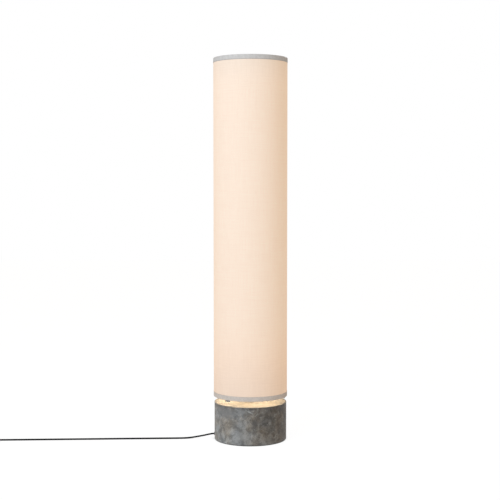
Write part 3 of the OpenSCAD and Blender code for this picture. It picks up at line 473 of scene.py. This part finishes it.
# Pale seams between darker nodules, here and there
crumpled = add(tree, "TexNoise", {"Vector": where["Object"], "Scale": 80.0, "Detail": 4.0})
torn = add(tree, "VectorMath", {
    0: bent,
    1: add(tree, "VectorMath", {0: crumpled.outputs["Color"], "Scale": 0.022}, operation="SCALE").outputs[0],
}, operation="ADD").outputs[0]
nodules = add(tree, "TexVoronoi", {"Vector": torn, "Scale": 66.0, "Randomness": 1.0},
              feature="DISTANCE_TO_EDGE")
where_seamed = add(tree, "TexNoise", {"Vector": where["Object"], "Scale": 55.0, "Detail": 3.0})
seamed = math_node(tree, "MULTIPLY", between(nodules.outputs["Distance"], 0.0, 0.16, 1.0, 0.0),
                   between(where_seamed.outputs["Fac"], 0.5, 0.64))
body = layered(body, (0.36, 0.35, 0.33, 1), math_node(tree, "MULTIPLY", seamed, 0.42), "MIX")

# A dark cloud, a pale one, a short pale streak and a few dark nodules at the front: place,
# half lengths, turn, shade and strength
SPOTS = [
    ((-0.072, -0.089, 0.097), (0.055, 0.019), 0, (0.155, 0.157, 0.16, 1), 0.72),
    ((-0.024, -0.111, 0.026), (0.03, 0.011), 0, (0.34, 0.33, 0.315, 1), 0.5),
    ((0.0, -0.114, 0.1045), (0.0085, 0.0022), 24, (0.5, 0.5, 0.48, 1), 0.6),
    ((-0.046, -0.104, 0.086), (0.006, 0.005), 0, (0.09, 0.088, 0.085, 1), 0.5),
    ((-0.015, -0.113, 0.1), (0.008, 0.004), -30, (0.1, 0.1, 0.1, 1), 0.45),
    ((0.014, -0.113, 0.073), (0.009, 0.015), 10, (0.085, 0.082, 0.08, 1), 0.55),
    ((0.043, -0.105, 0.067), (0.007, 0.006), 0, (0.05, 0.044, 0.04, 1), 0.55),
    ((0.072, -0.088, 0.074), (0.006, 0.014), 0, (0.05, 0.047, 0.036, 1), 0.5),
]
ragged = add(tree, "TexNoise", {"Vector": where["Object"], "Scale": 150.0, "Detail": 5.0})
for place, half, lean, shade_of, share in SPOTS:
    local = add(tree, "Mapping", {
        "Vector": where["Object"], "Location": place, "Rotation": (0, math.radians(lean), 0),
        "Scale": (half[0], max(half), half[1]),
    }, vector_type="TEXTURE").outputs[0]
    away = add(tree, "VectorMath", {0: local}, operation="LENGTH").outputs["Value"]
    uneven = math_node(tree, "MULTIPLY_ADD", ragged.outputs["Fac"], 2.4, away)
    body = layered(body, shade_of, between(uneven, 1.5, 2.6, share, 0.0), "MIX")

# Pits are dark; the rim is eased and a little darker; the top, polished finer, is more even
cells = add(tree, "TexVoronoi", {"Vector": where["Object"], "Scale": 150.0, "Randomness": 1.0})
pit = between(cells.outputs["Distance"], 0.1, 0.2, 1.0, 0.0)
chosen = add(tree, "SeparateColor", {"Color": cells.outputs["Color"]}).outputs["Red"]
dark_pit = math_node(tree, "MULTIPLY", pit, math_node(tree, "GREATER_THAN", chosen, 0.82))
pale_grain = math_node(tree, "MULTIPLY", pit, math_node(tree, "LESS_THAN", chosen, 0.14))
body = layered(body, (0.04, 0.038, 0.036, 1), math_node(tree, "MULTIPLY", dark_pit, 0.55), "MIX")
body = layered(body, (0.46, 0.45, 0.42, 1), math_node(tree, "MULTIPLY", pale_grain, 0.5), "MIX")
height = add(tree, "SeparateXYZ", {"Vector": where["Object"]}).outputs["Z"]
rim = math_node(tree, "MULTIPLY", between(height, STONE_TOP - 0.009, STONE_TOP - 0.004, 0.0, 0.3),
                between(height, STONE_TOP - 0.0008, STONE_TOP - 0.0002, 1.0, 0.0))
body = layered(body, (0.05, 0.045, 0.04, 1), rim, "MIX")
on_top = between(height, STONE_TOP - 0.0008, STONE_TOP - 0.0001)
body = layered(body, (0.19, 0.185, 0.175, 1), math_node(tree, "MULTIPLY", on_top, 0.8), "MIX")
tree.links.new(body, shader.inputs["Base Color"])
worn_smooth = add(tree, "TexNoise", {"Vector": where["Object"], "Scale": 45.0, "Detail": 3.0})
tree.links.new(
    math_node(tree, "MULTIPLY_ADD", on_top, 0.12, between(worn_smooth.outputs["Fac"], 0.3, 0.7, 0.5, 0.66)),
    shader.inputs["Roughness"],
)
fine = add(tree, "TexNoise", {"Vector": where["Object"], "Scale": 700.0, "Detail": 4.0})
lie = math_node(tree, "SUBTRACT", math_node(tree, "MULTIPLY", fine.outputs["Fac"], 0.35), dark_pit)
embossed(tree, shader, lie, 0.0004, 0.6)
dress(stone, "stone_base")

# ---------------------------------------------------------------- underside and wiring
# A steel plate, powder-coated black, closes the wiring recess with three screws in brass
# inserts. Behind it are the bushing, the cord's clamp and the terminal block.
coat, tree, shader, where = finish("black_powder_coat", (0.022, 0.022, 0.023), 0.45)
grained(tree, shader, where["Object"], 1100, 0.00012, 0.5)
rough_between(tree, shader, where["Object"], 50, 0.38, 0.52)
tinted(tree, shader, where["Object"], 30, (0.018, 0.018, 0.019), (0.028, 0.028, 0.029))
dress(coat, "cover_plate", "grub_screws")
dress(zinc, "cover_screws", "threaded_tube", "clamp_washer", "hex_nut", "clamp_screws",
      "lower_bracket", "upper_bracket", "holder_screws")
dull, tree, shader, where = finish("dull_zinc", (0.3, 0.295, 0.28), 0.6, 0.4, specular=0.3)
rough_between(tree, shader, where["Object"], 90, 0.5, 0.7)
grained(tree, shader, where["Object"], 700, 0.00006, 0.5)
tinted(tree, shader, where["Object"], 60, (0.26, 0.255, 0.24), (0.34, 0.335, 0.32), 5)
dress(dull, "guide_star")
dress(brass, "cover_inserts", "stem_bush", "top_pin", "left_pins", "right_pins")
dress(moulded, "cord_bushing")
china, tree, shader, where = finish("white_moulding", (0.72, 0.71, 0.67), 0.45)
rough_between(tree, shader, where["Object"], 80, 0.36, 0.52)
grained(tree, shader, where["Object"], 1800, 0.00006, 0.4)
tinted(tree, shader, where["Object"], 40, (0.67, 0.66, 0.62), (0.76, 0.75, 0.71))
dress(china, "cord_clamp", "terminal_block", "lower_holders", "upper_holders", "left_rotors",
      "right_rotors")

# The stretch of cord inside the drum, from the bushing to the terminal block
INNER_FROM, INNER_TO, CABLE_Z = -0.1151, -0.036, 0.015
inner_route = [Vector((INNER_FROM + (INNER_TO - INNER_FROM) * i / 20, 0, CABLE_Z)) for i in range(21)]
inner = tube("cord_in_drum", inner_route, CORD_D / 2, 16, braid)
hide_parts("inner_cord")
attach(inner, "root")

# Two insulated wires, out of the block, up the stem and out to both lower lampholders
WIRE_D, WIRE_OFF, WIRE_REACH, WIRE_BEND = 0.0022, 0.0018, 0.016, 0.002
RISER_LOW, WIRE_TOP = 0.022, 0.1735
pvc, tree, shader, where = finish("brown_wire", (0.12, 0.045, 0.02), 0.4)
grained(tree, shader, where["Object"], 900, 0.00005, 0.4)
tinted(tree, shader, where["Object"], 120, (0.1, 0.038, 0.018), (0.15, 0.06, 0.026))
wires = []
for side in (-1, 1):
    y = side * WIRE_OFF
    up_route = [Vector((-0.012, y, CABLE_Z)), Vector((-0.007, y, CABLE_Z)), Vector((-WIRE_BEND, y, CABLE_Z))]
    up_route += [Vector((
        -WIRE_BEND + WIRE_BEND * math.sin(a), y, CABLE_Z + WIRE_BEND - WIRE_BEND * math.cos(a),
    )) for a in (math.radians(18 * k) for k in range(1, 6))]
    up_route += [Vector((0, y, RISER_LOW + (WIRE_TOP - RISER_LOW) * i / 24)) for i in range(25)]
    wires.append(tube("riser", up_route, WIRE_D / 2, 12, pvc))
    across = [Vector((-WIRE_REACH + 2 * WIRE_REACH * i / 12, y, WIRE_TOP)) for i in range(13)]
    wires.append(tube("crosser", across, WIRE_D / 2, 12, pvc))


def joined(name, pieces):
    """Several new pieces made into one."""
    work = bmesh.new()
    for piece in pieces:
        work.from_mesh(piece.data)
    mesh = bpy.data.meshes.new(name)
    work.to_mesh(mesh)
    work.free()
    for piece in pieces:
        if not mesh.materials:
            for material in piece.data.materials:
                mesh.materials.append(material)
        bpy.data.objects.remove(piece)
    made = bpy.data.objects.new(name, mesh)
    bpy.context.scene.collection.objects.link(made)
    return made


harness = joined("wire_pair", wires)
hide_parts("feed_wires")
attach(harness, "root")

# ---------------------------------------------------------------- foot plate and stem
# A tube of stainless steel, brushed along its length, on a turned foot plate of blasted steel.
brushed, tree, shader, where = finish("brushed_steel", (0.5, 0.5, 0.5), 0.34, 1.0)
rough_between(tree, shader, where["Object"], 20, 0.26, 0.44, stretch=(30, 30, 1))
grained(tree, shader, where["Object"], 60, 0.00003, 0.5, stretch=(25, 25, 1))
tinted(tree, shader, where["Object"], 25, (0.44, 0.44, 0.44), (0.56, 0.56, 0.555), stretch=(20, 20, 1))
dress(brushed, "stem")
matt, tree, shader, where = finish("blasted_steel", (0.27, 0.265, 0.255), 0.66, 0.6, specular=0.3)
rough_between(tree, shader, where["Object"], 60, 0.6, 0.72)
grained(tree, shader, where["Object"], 1500, 0.00006, 0.5)
tinted(tree, shader, where["Object"], 30, (0.25, 0.245, 0.235), (0.29, 0.285, 0.275))
dress(matt, "foot_plate")

# ---------------------------------------------------------------- light tubes
# Two linear LED tubes: an opal tube over a narrow circuit board, with an aluminium cap and two
# brass pins at each end. They are lit.
opal, tree, shader, where = finish("opal_tube", (0.85, 0.82, 0.76), 0.35)
glow = mottled(tree, where["Object"], 9, (1.0, 0.68, 0.38), (1.0, 0.72, 0.42), 1)
tree.links.new(glow, shader.inputs["Emission Color"])
shader.inputs["Emission Strength"].default_value = 0.25
grained(tree, shader, where["Object"], 500, 0.00005, 0.3)
dress(opal, "left_diffuser", "right_diffuser")
satin, tree, shader, where = finish("satin_aluminium", (0.7, 0.7, 0.7), 0.38, 1.0)
rough_between(tree, shader, where["Object"], 60, 0.3, 0.46, stretch=(1, 1, 20))
grained(tree, shader, where["Object"], 80, 0.00004, 0.4, stretch=(1, 1, 20))
dress(satin, "left_caps", "right_caps")
mask, tree, shader, where = finish("white_board", (0.78, 0.78, 0.76), 0.4)
grained(tree, shader, where["Object"], 1200, 0.00005, 0.3)
chips = add(tree, "TexVoronoi", {"Vector": add(tree, "Mapping", {
    "Vector": where["Object"], "Scale": (0, 0, 1),
}).outputs[0], "Scale": 70.0, "Randomness": 0.0})
chip = math_node(tree, "LESS_THAN", chips.outputs["Distance"], 0.25)
tree.links.new(
    layered((0.78, 0.78, 0.76, 1), (0.85, 0.6, 0.1, 1), chip, "MIX"), shader.inputs["Base Color"],
)
dress(mask, "left_board", "right_board")

# ---------------------------------------------------------------- shade rings and spider
# Welded steel wire, nickel-plated: the top ring with three spokes and a hub that drops over the
# stem's pin, and a loose ring in the lower hem.
dress(nickel, "top_spider", "bottom_ring")

# ---------------------------------------------------------------- shade fabric
# Natural linen laminated on a translucent sheet and rolled into a tube, with a lap seam down the
# back. Lit from inside, it glows warm; thick threads show as faint streaks.
SHADE_R, SHADE_T = 0.116, 0.0012
FABRIC_LOW, FABRIC_HIGH = 0.13945, 1.19955
SEAM_W, SEAM_T, SEAM_LOW, SEAM_HIGH = 0.012, 0.0004, 0.155, 1.184
linen, tree, shader, where = finish("lit_linen", (0.52, 0.515, 0.49), 0.9, specular=0.15)
flat = where["UV"]  # the cloth laid flat, in metres


def threads(across, along):
    """Streaks in the cloth, across and along giving how often they change each way."""
    place = add(tree, "Mapping", {"Vector": flat, "Scale": (across, along, 1)}).outputs[0]
    return add(tree, "TexNoise", {"Vector": place, "Scale": 1.0, "Detail": 2.0}).outputs["Fac"]


apart = add(tree, "SeparateXYZ", {"Vector": flat}).outputs
THREAD = 0.0007
warp = math_node(tree, "SINE", math_node(tree, "MULTIPLY", apart["X"], 2 * math.pi / THREAD))
weft = math_node(tree, "SINE", math_node(tree, "MULTIPLY", apart["Y"], 2 * math.pi / THREAD))
weave = math_node(tree, "MULTIPLY", warp, weft)
slubs = math_node(tree, "ADD", threads(900, 30), threads(30, 900))
wide = math_node(tree, "ADD", threads(220, 9), threads(9, 220))
cloudy = math_node(tree, "ADD", math_node(tree, "MULTIPLY", slubs, 0.3),
                   math_node(tree, "MULTIPLY", wide, 0.2))
colour = ramp(tree, cloudy, (0.49, 0.485, 0.46), (0.53, 0.525, 0.5), 0.4, 0.6)
tree.links.new(colour, shader.inputs["Base Color"])
light = ramp(tree, cloudy, (0.482, 0.298, 0.168), (0.502, 0.316, 0.181), 0.38, 0.62)
# The glow weakens past the ends of the light tubes
low_end = between(apart["Y"], 0.13, 0.3, 0.86)
high_end = between(apart["Y"], 1.21, 1.1, 0.88)
faded = add(tree, "VectorMath", {
    0: light, "Scale": math_node(tree, "MULTIPLY", low_end, high_end),
}, operation="SCALE").outputs["Vector"]
# Low down, the bare ends of the tubes and the stone make it warmer
warmth = layered((0.97, 0.86, 0.74, 1), (1, 1, 1, 1), between(apart["Y"], 0.15, 0.42), "MIX")
glow = add(tree, "VectorMath", {0: faded, 1: warmth}, operation="MULTIPLY").outputs["Vector"]
tree.links.new(glow, shader.inputs["Emission Color"])
shader.inputs["Emission Strength"].default_value = 1.0
raised = math_node(tree, "ADD", math_node(tree, "MULTIPLY", weave, 0.3), slubs)
embossed(tree, shader, raised, 0.0003, 0.5)
# The backing sheet inside is given a glow of its own, strongest low down near the tubes' lower
# ends, in place of the tubes' light thrown about inside: this painted light lights the gap and the
# top of the drum
film, tree, shader, where = finish("glowing_backing_sheet", (0.74, 0.7, 0.63), 0.5)
height = add(tree, "SeparateXYZ", {"Vector": where["Object"]}).outputs["Z"]
share = between(height, 0.16, 0.5, 1.0, 0.1)
inner_light = add(tree, "VectorMath", {
    0: (1.0, 0.79, 0.55), "Scale": share,
}, operation="SCALE").outputs["Vector"]
tree.links.new(inner_light, shader.inputs["Emission Color"])
shader.inputs["Emission Strength"].default_value = 5.0
grained(tree, shader, where["Object"], 700, 0.00008, 0.3)
tinted(tree, shader, where["Object"], 25, (0.71, 0.665, 0.59), (0.77, 0.73, 0.66))

# The columns of points start at the cut edge of the lap, which lies SEAM_T proud, and go round
# to where the cloth passes under it
around, levels = 288, 60
SEAM_GAP, SEAM_RAMP = 0.0001, 0.002
lap = SEAM_W / SHADE_R
whole = 2 * math.pi
columns = [(0, 1), (lap / 2, 1), (lap, 1), (lap * 1.25, 0.5), (lap * 1.5, 0)]
columns += [(whole * k / around, 0) for k in range(around) if whole * k / around > lap * 1.6]
columns.append((whole - SEAM_GAP / SHADE_R, 0))
points, faces, uvs, backs = [], [], [], []
for turn, proud in columns:
    angle = math.pi / 2 - lap / 2 + turn
    for i in range(levels + 1):
        z = FABRIC_LOW + (FABRIC_HIGH - FABRIC_LOW) * i / levels
        clear = min(max(min(z - SEAM_LOW, SEAM_HIGH - z) / SEAM_RAMP, 0), 1)
        for radius in (SHADE_R + SEAM_T * proud * clear, SHADE_R - SHADE_T):
            points.append((radius * math.cos(angle), radius * math.sin(angle), z))
rows = 2 * (levels + 1)
for k in range(len(columns)):
    a, b = k * rows, (k + 1) % len(columns) * rows
    from_u, to_u = SHADE_R * columns[k][0], SHADE_R * (columns[k + 1][0] if b else whole)
    for i in range(levels):
        low = FABRIC_LOW + (FABRIC_HIGH - FABRIC_LOW) * i / levels
        high = FABRIC_LOW + (FABRIC_HIGH - FABRIC_LOW) * (i + 1) / levels
        lo, hi = 2 * i, 2 * i + 2
        faces.append((a + lo, b + lo, b + hi, a + hi))
        faces.append((b + lo + 1, a + lo + 1, a + hi + 1, b + hi + 1))
        uvs += [(from_u, low), (to_u, low), (to_u, high), (from_u, high)]
        uvs += [(to_u, low), (from_u, low), (from_u, high), (to_u, high)]
        backs += [0, 1]
    top = rows - 2
    faces += [(a + 1, b + 1, b, a), (a + top, b + top, b + top + 1, a + top + 1)]
    uvs += [(from_u, FABRIC_LOW)] * 4 + [(from_u, FABRIC_HIGH)] * 4
    backs += [1, 1]
shade = piece_from("linen_shade", points, faces, linen, uvs)
shade.data.materials.append(film)
shade.data.polygons.foreach_set("material_index", backs)
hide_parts("shade_fabric")
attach(shade, "shade")

# ---------------------------------------------------------------- tapes
# Woven cotton tape, 15 mm wide outside, glued round each edge of the shade and folded over the
# wire ring.
TAPE_H, TAPE_T, TAPE_R, FOLD_R = 0.015, 0.0004, 0.11625, 0.11435
RING_R, RING_UP, HEM_R, BEND = 0.113, 0.0022, 0.002, 0.0006
LOW_EDGE, HIGH_EDGE = 0.139, 1.2
cotton, tree, shader, where = finish("grey_tape", (0.63, 0.6, 0.57), 0.9, specular=0.15)
apart = add(tree, "SeparateXYZ", {"Vector": where["UV"]}).outputs
RIB = 0.0009
rib = math_node(tree, "SINE", math_node(tree, "MULTIPLY", apart["X"], 2 * math.pi / RIB))
cross = math_node(tree, "SINE", math_node(tree, "MULTIPLY", apart["Y"], 2 * math.pi / RIB * 1.6))
knit = math_node(tree, "MULTIPLY", rib, cross)
embossed(tree, shader, knit, 0.0002, 0.6)
# The lower tape, which lies close to the lit stone, is painted a touch darker and warmer: painted
# shade and painted warm light thrown up from the stone. A little of the light comes through it
height = add(tree, "SeparateXYZ", {"Vector": where["Object"]}).outputs["Z"]
on_lower_tape = math_node(tree, "LESS_THAN", height, 0.5)
cloth = mottled(tree, where["Object"], 160, (0.6, 0.57, 0.545), (0.67, 0.64, 0.61))
painted_bounce_and_shade = add(tree, "VectorMath", {0: cloth, 1: (0.955, 0.93, 0.9)}, operation="MULTIPLY").outputs["Vector"]
tree.links.new(layered(cloth, painted_bounce_and_shade, on_lower_tape, "MIX"), shader.inputs["Base Color"])
let_through = layered((0.008, 0.004, 0.001, 1), (0.05, 0.021, 0.006, 1), on_lower_tape, "MIX")
tree.links.new(let_through, shader.inputs["Emission Color"])
shader.inputs["Emission Strength"].default_value = 1.0
# The middle of the tape's section, as radius and height above the edge: down the outside, round a
# sharp bend, round the wire ring and up the inside
middle = [(TAPE_R, TAPE_H - TAPE_T / 2), (TAPE_R, 0.011), (TAPE_R, 0.007), (TAPE_R, 0.003)]
middle += [(TAPE_R - BEND * (1 - math.cos(a)), 0.0002 + BEND * (1 - math.sin(a)))
           for a in (math.radians(30 * k) for k in range(4))]
middle += [(0.1145, 0.0002)]
middle += [(RING_R + HEM_R * math.cos(a), RING_UP + HEM_R * math.sin(a))
           for a in (math.radians(270 - 20 * k) for k in range(10))]
middle += [(0.1138, RING_UP + HEM_R), (FOLD_R, RING_UP + HEM_R + BEND), (FOLD_R, 0.008),
           (FOLD_R, 0.0115), (FOLD_R, TAPE_H - TAPE_T / 2)]


def band(name, edge, upward):
    """One tape: its folded section, turned round the lamp at the edge that it covers."""
    sides = []
    for side in (1, -1):
        run = []
        for i, (radius, height) in enumerate(middle):
            before, after = middle[max(i - 1, 0)], middle[min(i + 1, len(middle) - 1)]
            dx, dz = after[0] - before[0], after[1] - before[1]
            long = math.hypot(dx, dz)
            run.append((radius - side * TAPE_T / 2 * dz / long, height + side * TAPE_T / 2 * dx / long))
        sides.append(run if side > 0 else run[::-1])
    outline = [(r, edge + upward * h) for r, h in sides[0] + sides[1]]
    made = turned(name, outline, 288, cotton, closed=True)
    facing_out(made)
    return made


lower = band("lower_tape", LOW_EDGE, 1)
upper = band("upper_tape", HIGH_EDGE, -1)
for piece, replaced, ring in ((lower, "bottom_tape", "bottom_ring"), (upper, "top_tape", "top_spider")):
    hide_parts(replaced)
    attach(piece, "shade")

# ---------------------------------------------------------------- studio
# A white sweep and soft light: one large lamp at the front left, a little cool, and an even, warmer
# room. The camera sees the floor and the room as white, but for a trace of the lamp's shadow.
bpy.context.scene.view_settings.view_transform = "Standard"
room = bpy.data.worlds.new("room")
bpy.context.scene.world = room
room.use_nodes = True
tree = room.node_tree
tree.nodes.clear()
rays = add(tree, "LightPath").outputs
seen = math_node(tree, "MAXIMUM", math_node(tree, "MAXIMUM", rays["Is Camera Ray"], rays["Is Glossy Ray"]),
                 rays["Is Transmission Ray"])
strength = add(tree, "MapRange", {"Value": seen, "To Min": 0.49, "To Max": 1.0}).outputs["Result"]
tone = add(tree, "Mix", {0: seen, 6: (1.09, 1.0, 0.9, 1), 7: (1, 1, 1, 1)}, data_type="RGBA").outputs[2]
sky = add(tree, "Background", {"Color": tone, "Strength": strength})
out = add(tree, "OutputWorld")
tree.links.new(sky.outputs[0], out.inputs[0])

work = bmesh.new()
bmesh.ops.create_grid(work, x_segments=2, y_segments=2, size=9)
ground = bpy.data.meshes.new("floor")
work.to_mesh(ground)
work.free()
floor = bpy.data.objects.new("floor", ground)
bpy.context.scene.collection.objects.link(floor)
white = bpy.data.materials.new("white_floor")
white.use_nodes = True
tree = white.node_tree
tree.nodes.clear()
rays = add(tree, "LightPath").outputs
seen = math_node(tree, "MAXIMUM", math_node(tree, "MAXIMUM", rays["Is Camera Ray"], rays["Is Glossy Ray"]),
                 rays["Is Transmission Ray"])
lit = add(tree, "BsdfDiffuse", {"Color": (0.8, 0.8, 0.8, 1)}).outputs[0]
# Where the drum and the cord touch the floor, an occlusion mask dims the floor's glow: a painted contact
# shadow
contact_occlusion = add(tree, "AmbientOcclusion", {"Distance": 0.02}, samples=8).outputs["AO"]
open_floor = add(tree, "MapRange", {"Value": contact_occlusion, "From Min": 0.06, "From Max": 0.55}).outputs["Result"]
shown = add(tree, "AddShader", {
    0: add(tree, "BsdfDiffuse", {"Color": (0.08, 0.08, 0.08, 1)}).outputs[0],
    1: add(tree, "Emission", {"Strength": math_node(tree, "MULTIPLY", open_floor, 0.958)}).outputs[0],
}).outputs[0]
both = add(tree, "MixShader", {0: seen, 1: lit, 2: shown}).outputs[0]
out = add(tree, "OutputMaterial")
tree.links.new(both, out.inputs[0])
ground.materials.append(white)

key = bpy.data.lights.new("key", "AREA")
key.shape = "DISK"
key.size = 2.4
key.energy = 68
key.color = (0.84, 1.0, 1.16)
key_light = bpy.data.objects.new("key", key)
key_light.location = (-1.75, -2.74, 2.2)
aim = Vector((0, 0, 0.6)) - key_light.location
key_light.rotation_euler = aim.to_track_quat("-Z", "Y").to_euler()
bpy.context.scene.collection.objects.link(key_light)
